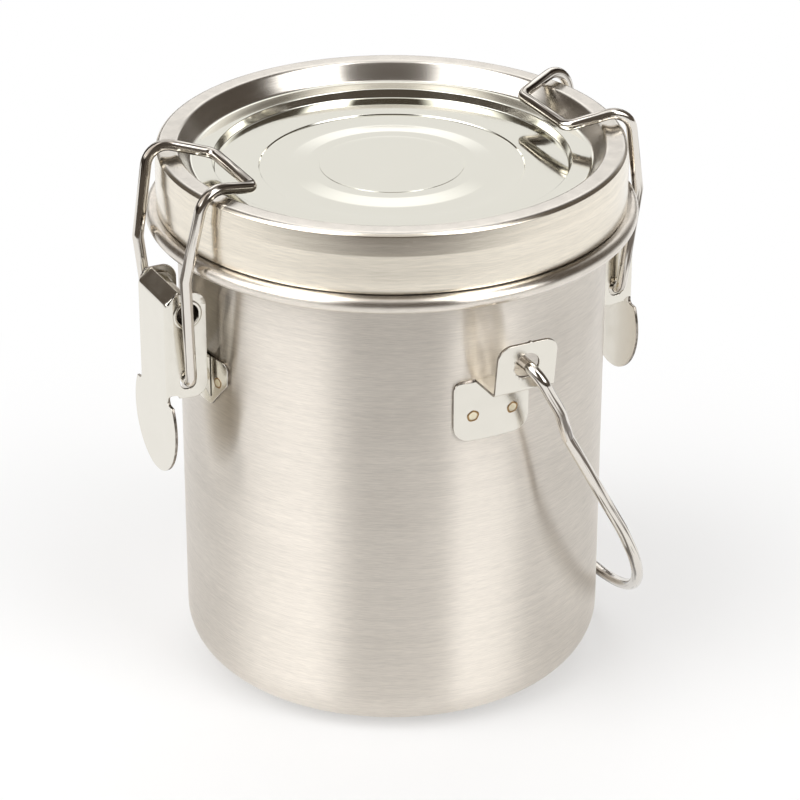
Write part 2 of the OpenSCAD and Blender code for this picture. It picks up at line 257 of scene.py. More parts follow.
def brushedSteel(name, look):
    material, tree = newMaterial(name)
    place = addNode(tree, "ShaderNodeTexCoord").outputs["Object"]
    split = addNode(tree, "ShaderNodeSeparateXYZ", {}, {0: place})
    height = split.outputs["Z"]
    fine = brushLines(tree, place, look["lineWidth"], look["lineLength"], 3.0)
    coarse = brushLines(tree, place, belt["width"], belt["length"], 3.0)
    lines = addNode(tree, "ShaderNodeMath", {"operation": "MULTIPLY_ADD", 1: belt["share"]}, {
        0: coarse, 2: fine})
    start, stop = belt["lineRange"]
    middle, swing = belt["middleTone"], look["tone"] / 2
    shade = addNode(tree, "ShaderNodeMapRange", {
        1: start, 2: stop, 3: middle - swing, 4: middle + swing}, {0: lines})
    storey = addNode(tree, "ShaderNodeMath", {"operation": "MULTIPLY", 1: 1 / (look["bandWidth"] * mm)}, {
        0: height})
    bands = addNode(tree, "ShaderNodeTexNoise", {"noise_dimensions": "1D", "Scale": 1.0, "Detail": 1.5}, {
        "W": storey})
    start, stop = belt["bandRange"]
    banded = addNode(tree, "ShaderNodeMapRange", {1: start, 2: stop, 3: 1 - look["band"], 4: 1.0}, {
        0: bands})
    shades = addNode(tree, "ShaderNodeMath", {"operation": "MULTIPLY"}, {0: shade, 1: banded})
    tone = addNode(tree, "ShaderNodeMix", {
        "data_type": "RGBA", "blend_type": "MULTIPLY", 0: 1.0, 6: linear(look["colour"])}, {7: shades})
    level = addNode(tree, "ShaderNodeMapRange", {
        1: (look["beadFrom"] - 1) * mm, 2: look["beadFrom"] * mm, 3: look["roughness"],
        4: look["beadRoughness"]}, {0: height})
    cloud = addNode(tree, "ShaderNodeTexNoise", {"Scale": belt["cloudScale"], "Detail": 3.0}, {
        "Vector": place})
    start, stop = belt["cloudRange"]
    drift = addNode(tree, "ShaderNodeMapRange", {
        1: start, 2: stop, 3: -belt["drift"], 4: belt["drift"]}, {0: cloud})
    both = addNode(tree, "ShaderNodeMath", {"operation": "ADD"}, {0: level, 1: drift})
    tangent = addNode(tree, "ShaderNodeTangent", {"direction_type": "RADIAL", "axis": "Z"})
    bump = addNode(tree, "ShaderNodeBump", {"Strength": belt["bump"], "Distance": look["lineDepth"] * mm}, {
        "Height": lines})
    # a quarter turn of the highlight: it smears up and down, across the lines
    return closeMaterial(material, {"Anisotropic": look["anisotropy"], "Anisotropic Rotation": 0.25}, {
        "Base Color": tone.outputs[2], "Roughness": both, "Normal": bump, "Tangent": tangent})


# 304 stainless, spun and buffed bright: near a mirror, with faint rings and a little haze
lidFinish = {"colour": "#e2e1d7", "roughness": 0.07, "haze": (-0.02, 0.05), "hazeScale": 55.0,
             "ringPitch": 0.35, "ringDepth": 0.01, "bump": 0.05}


def buffedSteel():
    material, tree = newMaterial("stainlessSteelBuffed")
    look = lidFinish
    place = addNode(tree, "ShaderNodeTexCoord").outputs["Object"]
    flat = addNode(tree, "ShaderNodeVectorMath", {"operation": "MULTIPLY", 1: (1, 1, 0)}, {0: place})
    radius = addNode(tree, "ShaderNodeVectorMath", {"operation": "LENGTH"}, {0: flat})
    rings = addNode(tree, "ShaderNodeMath", {"operation": "MULTIPLY", 1: 1 / (look["ringPitch"] * mm)}, {
        0: radius.outputs["Value"]})
    ringNoise = addNode(tree, "ShaderNodeTexNoise", {
        "noise_dimensions": "1D", "Scale": 1.0, "Detail": 3.0}, {"W": rings})
    cloud = addNode(tree, "ShaderNodeTexNoise", {"Scale": look["hazeScale"], "Detail": 4.0}, {
        "Vector": place})
    rough = hazeRange(tree, look, 0.35, cloud)
    bump = addNode(tree, "ShaderNodeBump", {"Strength": look["bump"], "Distance": look["ringDepth"] * mm}, {
        "Height": ringNoise})
    return closeMaterial(material, {"Base Color": linear(look["colour"])}, {
        "Roughness": rough, "Normal": bump})


# 304 stainless wire, cold drawn bright: the long dark streaks along it are painted reflections of the dim
#                                        room, between them its own light colour
wireFinish = {"colour": "#e4dfd7", "paintedReflectionColour": "#6d655d", "paintedReflectionRamp": (0.4, 0.49),
              "streakLength": 26.0, "streakWidth": 1.0, "roughness": 0.1, "haze": (-0.03, 0.07),
              "pitScale": 900.0, "pitDepth": 0.02, "bump": 0.08}


def drawnWire():
    material, tree = newMaterial("stainlessWireDrawn")
    look = wireFinish
    along = addNode(tree, "ShaderNodeAttribute", {"attribute_name": "alongWire"})
    slow = addNode(tree, "ShaderNodeMath", {"operation": "MULTIPLY", 1: 1 / (look["streakLength"] * mm)}, {
        0: along.outputs["Fac"]})
    rim = addNode(tree, "ShaderNodeAttribute", {"attribute_name": "roundWire"})
    wide = addNode(tree, "ShaderNodeVectorMath", {
        "operation": "SCALE", "Scale": 1 / (look["streakWidth"] * mm)}, {0: rim.outputs["Vector"]})
    flat = addNode(tree, "ShaderNodeSeparateXYZ", {}, {0: wide})
    drawn = addNode(tree, "ShaderNodeCombineXYZ", {}, {
        "X": flat.outputs["X"], "Y": flat.outputs["Y"], "Z": slow})
    streaks = addNode(tree, "ShaderNodeTexNoise", {"Scale": 1.0, "Detail": 2.5, "Roughness": 0.55}, {
        "Vector": drawn})
    # painted reflection: the dark stop paints the dim room's reflection into the wire's colour, fixed round
    # the wire
    tone = addNode(tree, "ShaderNodeValToRGB", {}, {0: streaks})
    dark, light = look["paintedReflectionRamp"]
    rampStops(tone, [(dark, look["paintedReflectionColour"]), (light, look["colour"])])
    rough = hazeRange(tree, look, 0.3, streaks)
    place = addNode(tree, "ShaderNodeTexCoord").outputs["Object"]
    pits = addNode(tree, "ShaderNodeTexNoise", {"Scale": look["pitScale"], "Detail": 2.0}, {
        "Vector": place})
    bump = addNode(tree, "ShaderNodeBump", {"Strength": look["bump"], "Distance": look["pitDepth"] * mm}, {
        "Height": pits})
    return closeMaterial(material, {}, {"Base Color": tone, "Roughness": rough, "Normal": bump})


# 304 stainless strip, blanked and tumbled in a barrel: a soft even shine with small waviness
sheetFinish = {"colour": "#e8e4da", "roughness": 0.2, "haze": (-0.05, 0.06), "waveSize": 5.0,
               "waveDepth": 0.06, "waveBump": 0.12, "grainScale": 2600.0, "grainDepth": 0.01,
               "grainBump": 0.05}


def tumbledSheet():
    material, tree = newMaterial("stainlessSheetTumbled")
    look = sheetFinish
    place = addNode(tree, "ShaderNodeTexCoord").outputs["Object"]
    waves = addNode(tree, "ShaderNodeTexNoise", {"Scale": 1 / (look["waveSize"] * mm), "Detail": 2.0}, {
        "Vector": place})
    grain = addNode(tree, "ShaderNodeTexNoise", {"Scale": look["grainScale"], "Detail": 2.0}, {
        "Vector": place})
    rough = hazeRange(tree, look, 0.3, waves)
    waved = addNode(tree, "ShaderNodeBump", {
        "Strength": look["waveBump"], "Distance": look["waveDepth"] * mm}, {"Height": waves})
    grained = addNode(tree, "ShaderNodeBump", {
        "Strength": look["grainBump"], "Distance": look["grainDepth"] * mm}, {
        "Height": grain, "Normal": waved})
    return closeMaterial(material, {"Base Color": linear(look["colour"])}, {
        "Roughness": rough, "Normal": grained})


# the same strip where a tool has cut or rolled it and no tumbling reached: duller and darker, its dark
# colour partly that cut steel and partly painted shade along the sheet's edges and in the pins' bores
edgeFinish = {"tornAndShaded": "#7b736b", "cut": "#aaa39a", "tearScale": 700.0, "roughness": 0.26}


def shearedSheetAndPaintedShade():
    material, tree = newMaterial("stainlessSheetSheared")
    place = addNode(tree, "ShaderNodeTexCoord").outputs["Object"]
    tears = addNode(tree, "ShaderNodeTexNoise", {"Scale": edgeFinish["tearScale"], "Detail": 2.0}, {
        "Vector": place})
    # painted shade: these dark stops also stand in for the shade along the sheet's edges and inside the
    # hollow pins
    tone = addNode(tree, "ShaderNodeValToRGB", {}, {0: tears})
    rampStops(tone, [(0.4, edgeFinish["tornAndShaded"]), (0.62, edgeFinish["cut"])])
    return closeMaterial(material, {"Roughness": edgeFinish["roughness"]}, {"Base Color": tone})


# resistance spot weld: the electrode leaves a shallow pan with a straw to brown heat ring, its
# colours set by the share of the mark's radius
weldFinish = {"ring": [(0.0, "#efe3c4"), (0.55, "#f2e9d0"), (0.74, "#a3814f"), (0.86, "#8c6b45"),
                       (1.0, "#e0d3b8")],
              "roughness": 0.32, "gritScale": 1500.0, "gritDepth": 0.03, "bump": 0.25}


def weldSteel():
    material, tree = newMaterial("spotWeldHeatTint")
    look = weldFinish
    ring = addNode(tree, "ShaderNodeAttribute", {"attribute_name": "weldRadius"})
    tone = addNode(tree, "ShaderNodeValToRGB", {}, {0: ring.outputs["Fac"]})
    rampStops(tone, look["ring"])
    place = addNode(tree, "ShaderNodeTexCoord").outputs["Object"]
    grit = addNode(tree, "ShaderNodeTexNoise", {"Scale": look["gritScale"], "Detail": 2.0}, {
        "Vector": place})
    bump = addNode(tree, "ShaderNodeBump", {"Strength": look["bump"], "Distance": look["gritDepth"] * mm}, {
        "Height": grit})
    return closeMaterial(material, {"Roughness": look["roughness"]}, {"Base Color": tone, "Normal": bump})


# platinum-cured silicone, moulded: milky white, matt, light passes a little way in
gasketFinish = {"shade": "#e2e1da", "milk": "#edece6", "hazeScale": 220.0, "hazeDepth": 0.02, "bump": 0.1,
                "roughness": 0.5, "ior": 1.41, "depth": 0.15, "reach": (0.002, 0.002, 0.0018)}


def mouldedSilicone():
    material, tree = newMaterial("siliconeMoulded")
    look = gasketFinish
    place = addNode(tree, "ShaderNodeTexCoord").outputs["Object"]
    haze = addNode(tree, "ShaderNodeTexNoise", {"Scale": look["hazeScale"], "Detail": 2.0}, {
        "Vector": place})
    tone = addNode(tree, "ShaderNodeValToRGB", {}, {0: haze})
    rampStops(tone, [(0.3, look["shade"]), (0.7, look["milk"])])
    bump = addNode(tree, "ShaderNodeBump", {"Strength": look["bump"], "Distance": look["hazeDepth"] * mm}, {
        "Height": haze})
    return closeMaterial(material, {
        "Metallic": 0.0, "Roughness": look["roughness"], "IOR": look["ior"],
        "Subsurface Weight": look["depth"], "Subsurface Radius": look["reach"]}, {
        "Base Color": tone, "Normal": bump})


canSteel = brushedSteel("stainlessSteelBrushedRound", canFinish)
skirtSteel = brushedSteel("stainlessSteelBrushedSkirt", skirtFinish)
ringSteel = brushedSteel("stainlessSteelBrushedRing", ringFinish)
lidSteel = buffedSteel()
wireSteel = drawnWire()
sheetSteel = tumbledSheet()
edgeAndShadeSteel = shearedSheetAndPaintedShade()
weldTint = weldSteel()
silicone = mouldedSilicone()
print("materials built")


def arcPoints(centre, radius, start, stop, steps):
    turns = [math.radians(start + (stop - start) * i / steps) for i in range(steps + 1)]
    return [(centre[0] + radius * math.cos(a), centre[1] + radius * math.sin(a)) for a in turns]


def cornerArm(here, back, ahead, radius, turn, share):
    # a corner's middle of rounding, and the arm from it to the place a share of the way round
    reach = radius * math.tan(turn / 2)
    centre = here + (back + ahead).normalized() * radius / math.cos(turn / 2)
    first, last = here + back * reach - centre, here + ahead * reach - centre
    arm = (first * math.sin((1 - share) * turn) + last * math.sin(share * turn)) / math.sin(turn)
    return centre, arm


def roundCorners(points, radii, steps=6):
    # points as radius and height; each inner corner gets its own rounding
    done = [points[0]]
    for i in range(1, len(points) - 1):
        here = Vector(points[i])
        back = Vector(points[i - 1]) - here
        ahead = Vector(points[i + 1]) - here
        radius = radii[i]
        turn = math.pi - back.angle(ahead)
        if radius <= 0 or turn < 0.01:
            done.append(tuple(here))
            continue
        reach = min(radius * math.tan(turn / 2), back.length * 0.49, ahead.length * 0.49)
        radius = reach / math.tan(turn / 2)
        back.normalize()
        ahead.normalize()
        for k in range(steps + 1):
            centre, arm = cornerArm(here, back, ahead, radius, turn, k / steps)
            done.append(tuple(centre + arm))
    done.append(points[-1])
    return done


def subdivide(points, longest):
    done = [points[0]]
    for a, b in zip(points[:-1], points[1:]):
        n = max(1, math.ceil(math.dist(a, b) / longest))
        done += [(a[0] + (b[0] - a[0]) * k / n, a[1] + (b[1] - a[1]) * k / n) for k in range(1, n + 1)]
    return done


def offsetLine(line, distance):
    moved = []
    for i, p in enumerate(line):
        a, b = line[max(i - 1, 0)], line[min(i + 1, len(line) - 1)]
        d = (Vector(b) - Vector(a)).normalized()
        moved.append((max(p[0] + distance * d.y, 0), p[1] - distance * d.x))
    return moved


def turnedPiece(name, line, finish, closed=False, steps=256, pathRadius=60.0):
    vertices = [((r - pathRadius) * mm, -z * mm, 0) for r, z in line]
    edges = [(i, i + 1) for i in range(len(line) - 1)] + ([(len(line) - 1, 0)] if closed else [])
    made = meshObject(name, vertices, [], edges)
    runTree(made, turned, {"Path radius": pathRadius * mm, "Steps": steps, "Finish": finish})
    weldSeams(made)
    return smoothShade(made, 50)


can = {"radius": 60.0, "wall": 0.7, "baseCorner": 12.0, "beadZ": 133.6, "beadBend": 2.25, "beadOut": 8.6,
       "neck": 64.3, "rim": 150.2, "rimRun": 0.5, "underBead": 1.0, "neckFoot": 0.8, "innerFoot": 0.3,
       "longestOut": 4.0, "longestIn": 6.0}


def canSection():
    # up the outside, over the rim and down the inside; the wall folds out into the bead and back
    c = can
    wall, rimFoot = c["wall"], c["rim"] - c["rimRun"]
    bendR = c["radius"] + c["beadOut"] - c["beadBend"]
    beadMid, beadTop = c["beadZ"] + c["beadBend"], c["beadZ"] + 2 * c["beadBend"]
    outer = roundCorners([(0, 0), (c["radius"], 0), (c["radius"], c["beadZ"]), (bendR, c["beadZ"])],
                         [0, c["baseCorner"], c["underBead"], 0], 14)
    outer += arcPoints((bendR, beadMid), c["beadBend"], -90, 90, 18)[1:]
    outer += roundCorners([(bendR, beadTop), (c["neck"], beadTop), (c["neck"], rimFoot)],
                          [0, c["neckFoot"], 0], 6)[1:]
    inner = roundCorners([(0, wall), (c["radius"] - wall, wall), (c["radius"] - wall, c["beadZ"] + wall),
                          (bendR, c["beadZ"] + wall)],
                         [0, c["baseCorner"] - wall, c["underBead"] + wall, 0], 14)
    inner += arcPoints((bendR, beadMid), c["beadBend"] - wall, -90, 90, 14)[1:]
    inner += roundCorners([(bendR, beadTop - wall), (c["neck"] - wall, beadTop - wall),
                           (c["neck"] - wall, rimFoot)], [0, c["innerFoot"], 0], 6)[1:]
    top = arcPoints((c["neck"] - wall / 2, c["rim"] - wall / 2), wall / 2, 0, 180, 8)
    return subdivide(outer, c["longestOut"]) + top + subdivide(inner, c["longestIn"])[::-1]


canBody = turnedPiece("canBodyShell", canSection(), canSteel)
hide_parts("canister_body")
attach(canBody, "canister")

lid = {"radius": 65.5, "wall": 0.6, "skirt": 138.5, "shoulder": 149.2, "shoulderBend": 5.0,
       "ringTop": 155.6, "ringInner": 59.3, "ringOuter": 64.05, "ringSlope": (1.0, 0.95), "ledge": 150.5,
       "ledgeOuter": 55.6, "ledgeInner": 49.9, "panel": 148.0, "outerCircle": 36.9, "innerCircle": 20.1,
       "longest": 4.0}


def lidLine():
    # radius, height and rounding, from the middle outward: pressed circles, dish, ledge, steep inner
    # wall, flat ring, shoulder, skirt
    d = lid
    pan, ledge, ring = d["panel"], d["ledge"], d["ringTop"]
    small, large = d["innerCircle"], d["outerCircle"]
    slopeR, slopeZ = d["ringSlope"]
    points = [(0, pan + 0.05, 0), (small - 0.04, pan + 0.05, 0.05), (small, pan - 0.07, 0.05),
              (small + 0.3, pan - 0.06, 0.3), (small + 3.4, pan - 0.04, 14), (small + 9.4, pan - 0.48, 20),
              (large - 0.24, pan - 0.42, 0.12), (large, pan, 0.14),
              (d["ledgeInner"] - 0.8, pan, 0.4), (d["ledgeInner"] - 0.15, ledge, 0.3),
              (d["ledgeOuter"], ledge - 0.25, 1.6), (d["ringInner"], ring, 1.6),
              (d["ringOuter"], ring, 2.0), (d["ringOuter"] + slopeR, ring - slopeZ, 0.5),
              (d["radius"], d["shoulder"] + 0.1, d["shoulderBend"]), (d["radius"], d["skirt"] + 0.3, 0)]
    return roundCorners([(r, z) for r, z, bend in points], [bend for r, z, bend in points], 8)


def lidSection():
    d = lid
    line = subdivide(lidLine(), d["longest"])
    under = offsetLine(line, d["wall"])
    hem = arcPoints((d["radius"] - d["wall"] / 2, d["skirt"] + d["wall"] / 2), d["wall"] / 2, 0, -180, 8)
    return line[:-1] + hem + under[:-1][::-1]


lidShell = turnedPiece("lidShell", lidSection(), lidSteel)
lidShell.data.materials.append(ringSteel)
lidShell.data.materials.append(skirtSteel)
for face in lidShell.data.polygons:
    reach = math.hypot(face.center.x, face.center.y) / mm
    face.material_index = 2 if reach > lid["ringOuter"] + 0.4 else 1 if reach > lid["ledgeOuter"] else 0
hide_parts("lid")
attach(lidShell, "lid")
print("can and lid turned")


latchWire = {"diameter": 3.2, "bend": 3.4, "overBend": 6.0, "hole": (67.3, 100.4), "endY": 9.1,
             "legY": 12.7, "knee": (69.7, 16.4, 133.5), "over": (64.6, 19.0, 159.75),
             "tip": (47.8, 13.2, 155.1)}
bail = {"diameter": 3.3, "bend": 5.0, "hinge": (3.3, 117.3), "endY": 67.2, "outY": 79.3, "knee": 14.0,
        "kink": 29.0, "kinkY": 71.4, "kinkBend": 2.5, "armEnd": 66.0, "armY": 72.2, "armBend": 20.0,
        "arm": 47.0, "bow": 75.5, "bowFrom": 66, "bowSteps": 66, "restGap": 0.3}


def wirePiece(name, route, bends, diameter, body, node):
    edges = [(i, i + 1) for i in range(len(route) - 1)]
    made = meshObject(name, [Vector(p) * mm for p in route], [], edges)
    radii = made.data.attributes.new("bendRadius", "FLOAT", "POINT")
    radii.data.foreach_set("value", [bend * mm for bend in bends])
    runTree(made, bentWire, {
        "Wire radius": diameter / 2 * mm, "Bend steps": 10, "Sides": 32, "Finish": wireSteel})
    weldSeams(made)
    smoothShade(made, 60)
    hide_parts(node)
    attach(made, body)


def latchRoute(side):
    # from one foot in the lever up over the ring, across and back
    w = latchWire
    u, z = w["hole"]
    half = [(u, w["endY"], z), (u, w["legY"], z), w["knee"], w["over"], w["tip"]]
    loop = half + [(p[0], -p[1], p[2]) for p in reversed(half)]
    return [(p[0] * side, p[1] * side, p[2]) for p in loop]


def bailRoute():
    # drawn flat, as distance down from the hinge and place across, then leant against the can
    b = bail
    lean = can["radius"] + b["diameter"] / 2 + b["restGap"] - b["hinge"][0]
    tilt = math.asin(lean / (b["arm"] + b["bow"]))
    arm = [(0, b["endY"]), (0, b["outY"]), (b["knee"], b["outY"]), (b["kink"], b["kinkY"]),
           (b["armEnd"], b["armY"])]
    bow = arcPoints((b["arm"], 0), b["bow"], b["bowFrom"], -b["bowFrom"], b["bowSteps"])
    flat = arm + bow + [(d, -y) for d, y in reversed(arm)]
    return [(b["hinge"][0] + d * math.sin(tilt), y, b["hinge"][1] - d * math.cos(tilt)) for d, y in flat]


for sideName, side in sides:
    bends = [0] + [latchWire["bend"]] * 2 + [latchWire["overBend"], latchWire["bend"]]
    wirePiece(sideName + "HookWire", latchRoute(side), bends + bends[::-1], latchWire["diameter"],
              sideName + "_wire", sideName + "_latch_wire")
route = bailRoute()
bends = [0] + [bail["bend"]] * 2 + [bail["kinkBend"], bail["armBend"]]
bends += [bail["bend"]] * (len(route) - 2 * len(bends)) + bends[::-1]
wirePiece("bailWire", route, bends, bail["diameter"], "bail", "bail_handle")
print("wires bent")


def flatSheet(name, loops, thickness, edge):
    # a blanked strip in its own plane, every edge slightly rolled, its thickness along local Z
    curve = bpy.data.curves.new(name, "CURVE")
    curve.dimensions = "2D"
    curve.fill_mode = "BOTH"
    curve.extrude = (thickness / 2 - edge) * mm
    curve.bevel_depth = edge * mm
    curve.bevel_resolution = 2
    curve.offset = -edge * mm
    for loop in loops:
        spline = curve.splines.new("POLY")
        spline.points.add(len(loop) - 1)
        for point, (x, y) in zip(spline.points, loop):
            point.co = (x * mm, y * mm, 0, 1)
        spline.use_cyclic_u = True
    made = newObject(name, curve)
    bpy.context.view_layer.update()
    mesh = bpy.data.meshes.new_from_object(made.evaluated_get(bpy.context.evaluated_depsgraph_get()))
    bpy.data.objects.remove(made)
    mesh.materials.clear()
    mesh.materials.append(sheetSteel)
    mesh.materials.append(edgeAndShadeSteel)
    made = weldSeams(newObject(name, mesh), 2e-6)
    for face in made.data.polygons:
        face.material_index = 1 if abs(face.normal.z) < 0.6 else 0    # the sheared edge, its dark colour partly painted shade
    return made


def sliceSheet(made, axis, places):
    work = bmesh.new()
    work.from_mesh(made.data)
    normal = Vector((1, 0, 0)) if axis == 0 else Vector((0, 1, 0))
    for place in places:
        bmesh.ops.bisect_plane(work, geom=work.verts[:] + work.edges[:] + work.faces[:], dist=1e-7,
                               plane_co=normal * place * mm, plane_no=normal)
    bmesh.ops.triangulate(work, faces=[f for f in work.faces if len(f.verts) > 4])
    work.to_mesh(made.data)
    work.free()


def bendSheet(made, rule):
    for vertex in made.data.vertices:
        x, y, t = (c / mm for c in vertex.co)
        vertex.co = Vector(rule(x, y, t)) * mm
    made.data.update()


def spread(low, high, step):
    n = max(1, round((high - low) / step))
    return [low + (high - low) * i / n for i in range(n + 1)]


def circleLoop(x, y, radius, steps=40):
    return arcPoints((x, y), radius, 0, 360, steps)[:-1]


def roundedLoop(points, radii, steps=6):
    # closed outline with rounded corners
    n = len(points)
    done = []
    for i in range(n):
        trio = [points[i - 1], points[i], points[(i + 1) % n]]
        done += roundCorners(trio, [0, radii[i], 0], steps)[1:-1]
    return done


def sheetPiece(made, body, node):
    smoothShade(made, 42)
    flattenNormals(made)
    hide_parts(node)
    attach(made, body)


lever = {"width": 21.0, "sheet": 0.9, "face": 73.2, "bend": 2.1, "cheekU": 61.5, "cheekLow": 95.2,
         "cheekTop": 126.6, "cheekCorner": 4.2, "lipStart": 123.6, "lipU": 69.3, "lipZ": 126.5,
         "lipBend": 0.9, "slit": 1.0, "tabW": 28.0, "tabMid": 86.0, "tabHalf": 15.6, "tabBlend": 1.2,
         "notch": 1.5, "hinge": (67.0, 120.4), "hingeHole": 7.32, "hook": (67.3, 100.4), "hookHole": 4.8,
         "edge": 0.16}


def leverSheet(name, side):
    # s runs across the developed blank from its middle, z up it: flat face to s1, bend to s2, cheek
    d = lever
    midHalf = d["width"] / 2 - d["sheet"] / 2
    midFace = d["face"] - d["sheet"] / 2
    bend = d["bend"] - d["sheet"] / 2
    s1 = midHalf - bend
    s2 = s1 + bend * math.pi / 2
    cheekStart = midFace - bend

    def develop(u):
        return s2 + cheekStart - u
    lipLength = math.dist((d["face"], d["lipStart"]), (d["lipU"], d["lipZ"]))
    lipTurn = math.atan2(d["face"] - d["lipU"], d["lipZ"] - d["lipStart"])
    lipTop = d["lipStart"] + lipLength
    lipBend = d["lipBend"]
    half = d["tabW"] / 2
    low, top, edgeS = d["cheekLow"], d["cheekTop"], develop(d["cheekU"])
    tab = [(half * x, d["tabMid"] + d["tabHalf"] * z) for x, z in arcPoints((0, 0), 1, -90, 90, 60)]
    right = [(x, z) for x, z in tab if z < low - 0.9]
    right += arcPoints((s2 - 0.3, low), d["notch"], -125, -345, 11)
    r = d["cheekCorner"]
    right += arcPoints((edgeS - r, low + r), r, -90, 0, 10)
    right += arcPoints((edgeS - r, top - r), r, 0, 90, 10)
    slit = s1 + d["slit"]
    right += [(s2 + 0.6, top), (s2 - 0.1, top - 1.2), (slit + 0.35, d["lipStart"] + 0.1),
              (slit, d["lipStart"] + 0.1), (slit - 0.1, lipTop - 0.5), (slit - 0.6, lipTop)]
    outline = right + [(-x, z) for x, z in reversed(right)]
    hingeS, hookS = develop(d["hinge"][0]), develop(d["hook"][0])
    holes = []
    for sign in (-1, 1):
        holes.append(circleLoop(sign * hingeS, d["hinge"][1], d["hingeHole"] / 2))
        holes.append(circleLoop(sign * hookS, d["hook"][1], d["hookHole"] / 2))
    made = flatSheet(name, [outline] + holes, d["sheet"], d["edge"])
    cuts = spread(s1, s2, 0.26)
    sliceSheet(made, 0, cuts + [-c for c in cuts] + spread(-8, 8, 4) + [s2 + 4, s2 + 7, -s2 - 4, -s2 - 7])
    sliceSheet(made, 1, spread(d["lipStart"] - lipBend, d["lipStart"] + lipBend, 0.3) + spread(72, 120, 6)
               + spread(low - d["tabBlend"], low, 0.3))

    def rule(s, z, t):
        a = abs(s)
        sign = 1 if s >= 0 else -1
        # the thumb tab stays flat, the channel above it turns its two cheeks in
        flatShare = min(1, max(0, (low - z) / d["tabBlend"]))
        if a <= s1:
            u, y, nu, ny = midFace, a, 1, 0
        elif a <= s2:
            w = (a - s1) / bend
            nu, ny = math.cos(w), math.sin(w)
            u, y = cheekStart + bend * nu, s1 + bend * ny
        else:
            u, y, nu, ny = cheekStart - (a - s2), midHalf, 0, 1
        if flatShare > 0 and a > s1:
            u = u + (midFace - u) * flatShare
            y = y + (a - y) * flatShare
            n = Vector((nu, ny)).lerp(Vector((1, 0)), flatShare).normalized()
            nu, ny = n.x, n.y
        du = dz = nz = 0
        if a <= slit + 0.2 and z > d["lipStart"] - lipBend:
            # lip: a round bend, then a straight slanted strip
            q = z - (d["lipStart"] - lipBend)
            radius = 2 * lipBend / lipTurn
            w = min(q, 2 * lipBend) / radius
            du = -radius * (1 - math.cos(w)) - max(0, q - 2 * lipBend) * math.sin(lipTurn)
            dz = radius * math.sin(w) + max(0, q - 2 * lipBend) * math.cos(lipTurn) - q
            nu, nz = nu * math.cos(w), math.sin(w)
        return (side * (u + du + nu * t), side * sign * (y + ny * t), z + dz + nz * t)
    bendSheet(made, rule)
    return made


for sideName, side in sides:
    made = leverSheet(sideName + "LeverSheet", side)
    weldSeams(made)
    sheetPiece(made, sideName + "_lever", sideName + "_latch_lever")
print("levers folded")

ear = {"sheet": 0.9, "plateW": 22.7, "low": 91.2, "ledge": 109.7, "corner": 4.5, "reach": 72.0,
       "tabW": 17.8, "offset": 3.3, "top": 14.6, "lean": 8.0, "tabCorner": 4.0, "hole": 7.4,
       "holeUp": 7.6, "bend": 1.1, "nib": 0.28, "edge": 0.14}


def earSheet(name, side):
    # q runs up the developed blank: welded plate to q1, shelf out to q2, then the leaning tab
    d = ear
    mid = can["radius"] + d["sheet"] / 2
    half, tabHalf = d["plateW"] / 2, d["tabW"] / 2
    left, right = d["offset"] - tabHalf, d["offset"] + tabHalf
    ledgeMid = d["ledge"] - d["sheet"] / 2
    tabMid = d["reach"] - d["sheet"] / 2
    q1 = ledgeMid
    q2 = q1 + tabMid - mid
    tabTop = q2 + d["top"] + d["sheet"] / 2
    nibX, nibTop = d["offset"] + 0.6, tabTop + d["nib"]    # the small tear where the strip was cut off
    points = [(-half, d["low"]), (half, d["low"]), (half, q1 + 0.3), (half - 2.5, q1 + 0.9),
              (right, q2 - 7.5), (right, tabTop), (nibX + 0.5, tabTop), (nibX + 0.35, nibTop),
              (nibX - 0.35, nibTop), (nibX - 0.5, tabTop), (left, tabTop), (left, q1 + 0.4),
              (left - 0.5, q1 + 0.1), (-half, q1 - 0.2)]
    plateR, tabR = d["corner"], d["tabCorner"]
    radii = [plateR, plateR, 1.6, 0.6, 1.5, tabR, 0, 0.1, 0.1, 0, tabR, 0.5, 0.5, 4.2]
    hole = circleLoop(d["offset"], q2 + d["holeUp"] + d["sheet"] / 2, d["hole"] / 2, 48)
    made = flatSheet(name, [roundedLoop(points, radii, 8), hole], d["sheet"], d["edge"])
    b = d["bend"]
    sliceSheet(made, 0, spread(-11, 12, 1.0))
    sliceSheet(made, 1, spread(q1 - 1.3 * b, q1 + 1.3 * b, 0.3) + spread(q2 - 1.3 * b, q2 + 1.3 * b, 0.3))
    lean = math.radians(d["lean"])

    def pathPoint(q, x):
        # outward distance and height of the sheet's middle at developed height q, and its normal
        start = math.sqrt(mid * mid - x * x)
        corners = [(start, d["low"] - 20), (start, ledgeMid), (tabMid, ledgeMid),
                   (tabMid + 40 * math.sin(lean), ledgeMid + 40 * math.cos(lean))]
        marks = [d["low"] - 20, q1, q2, q2 + 40]
        for k in (1, 2):
            turn = math.pi / 2 if k == 1 else math.pi / 2 - lean
            reach = b * math.tan(turn / 2)
            if abs(q - marks[k]) < reach:
                here = Vector(corners[k])
                back = (Vector(corners[k - 1]) - here).normalized()
                ahead = (Vector(corners[k + 1]) - here).normalized()
                share = (q - marks[k] + reach) / (2 * reach)
                centre, arm = cornerArm(here, back, ahead, b, turn, share)
                return centre + arm, arm.normalized() * (1 if k == 2 else -1)
        k = 0 if q < q1 else 1 if q < q2 else 2
        share = (q - marks[k]) / (marks[k + 1] - marks[k])
        a, c = Vector(corners[k]), Vector(corners[k + 1])
        along = (c - a).normalized()
        return a + (c - a) * share, Vector((along.y, -along.x))

    def rule(x, q, t):
        place, normal = pathPoint(q, min(abs(x), mid - 1))
        share = min(1, max(0, (q1 + 1.5 - q) / 3))
        fan = x / mid * share              # the welded plate leans with the can's wall
        out = place.x + normal.x * t
        return (x + fan * normal.x * t, -side * out, place.y + normal.y * t)
    bendSheet(made, rule)
    return made


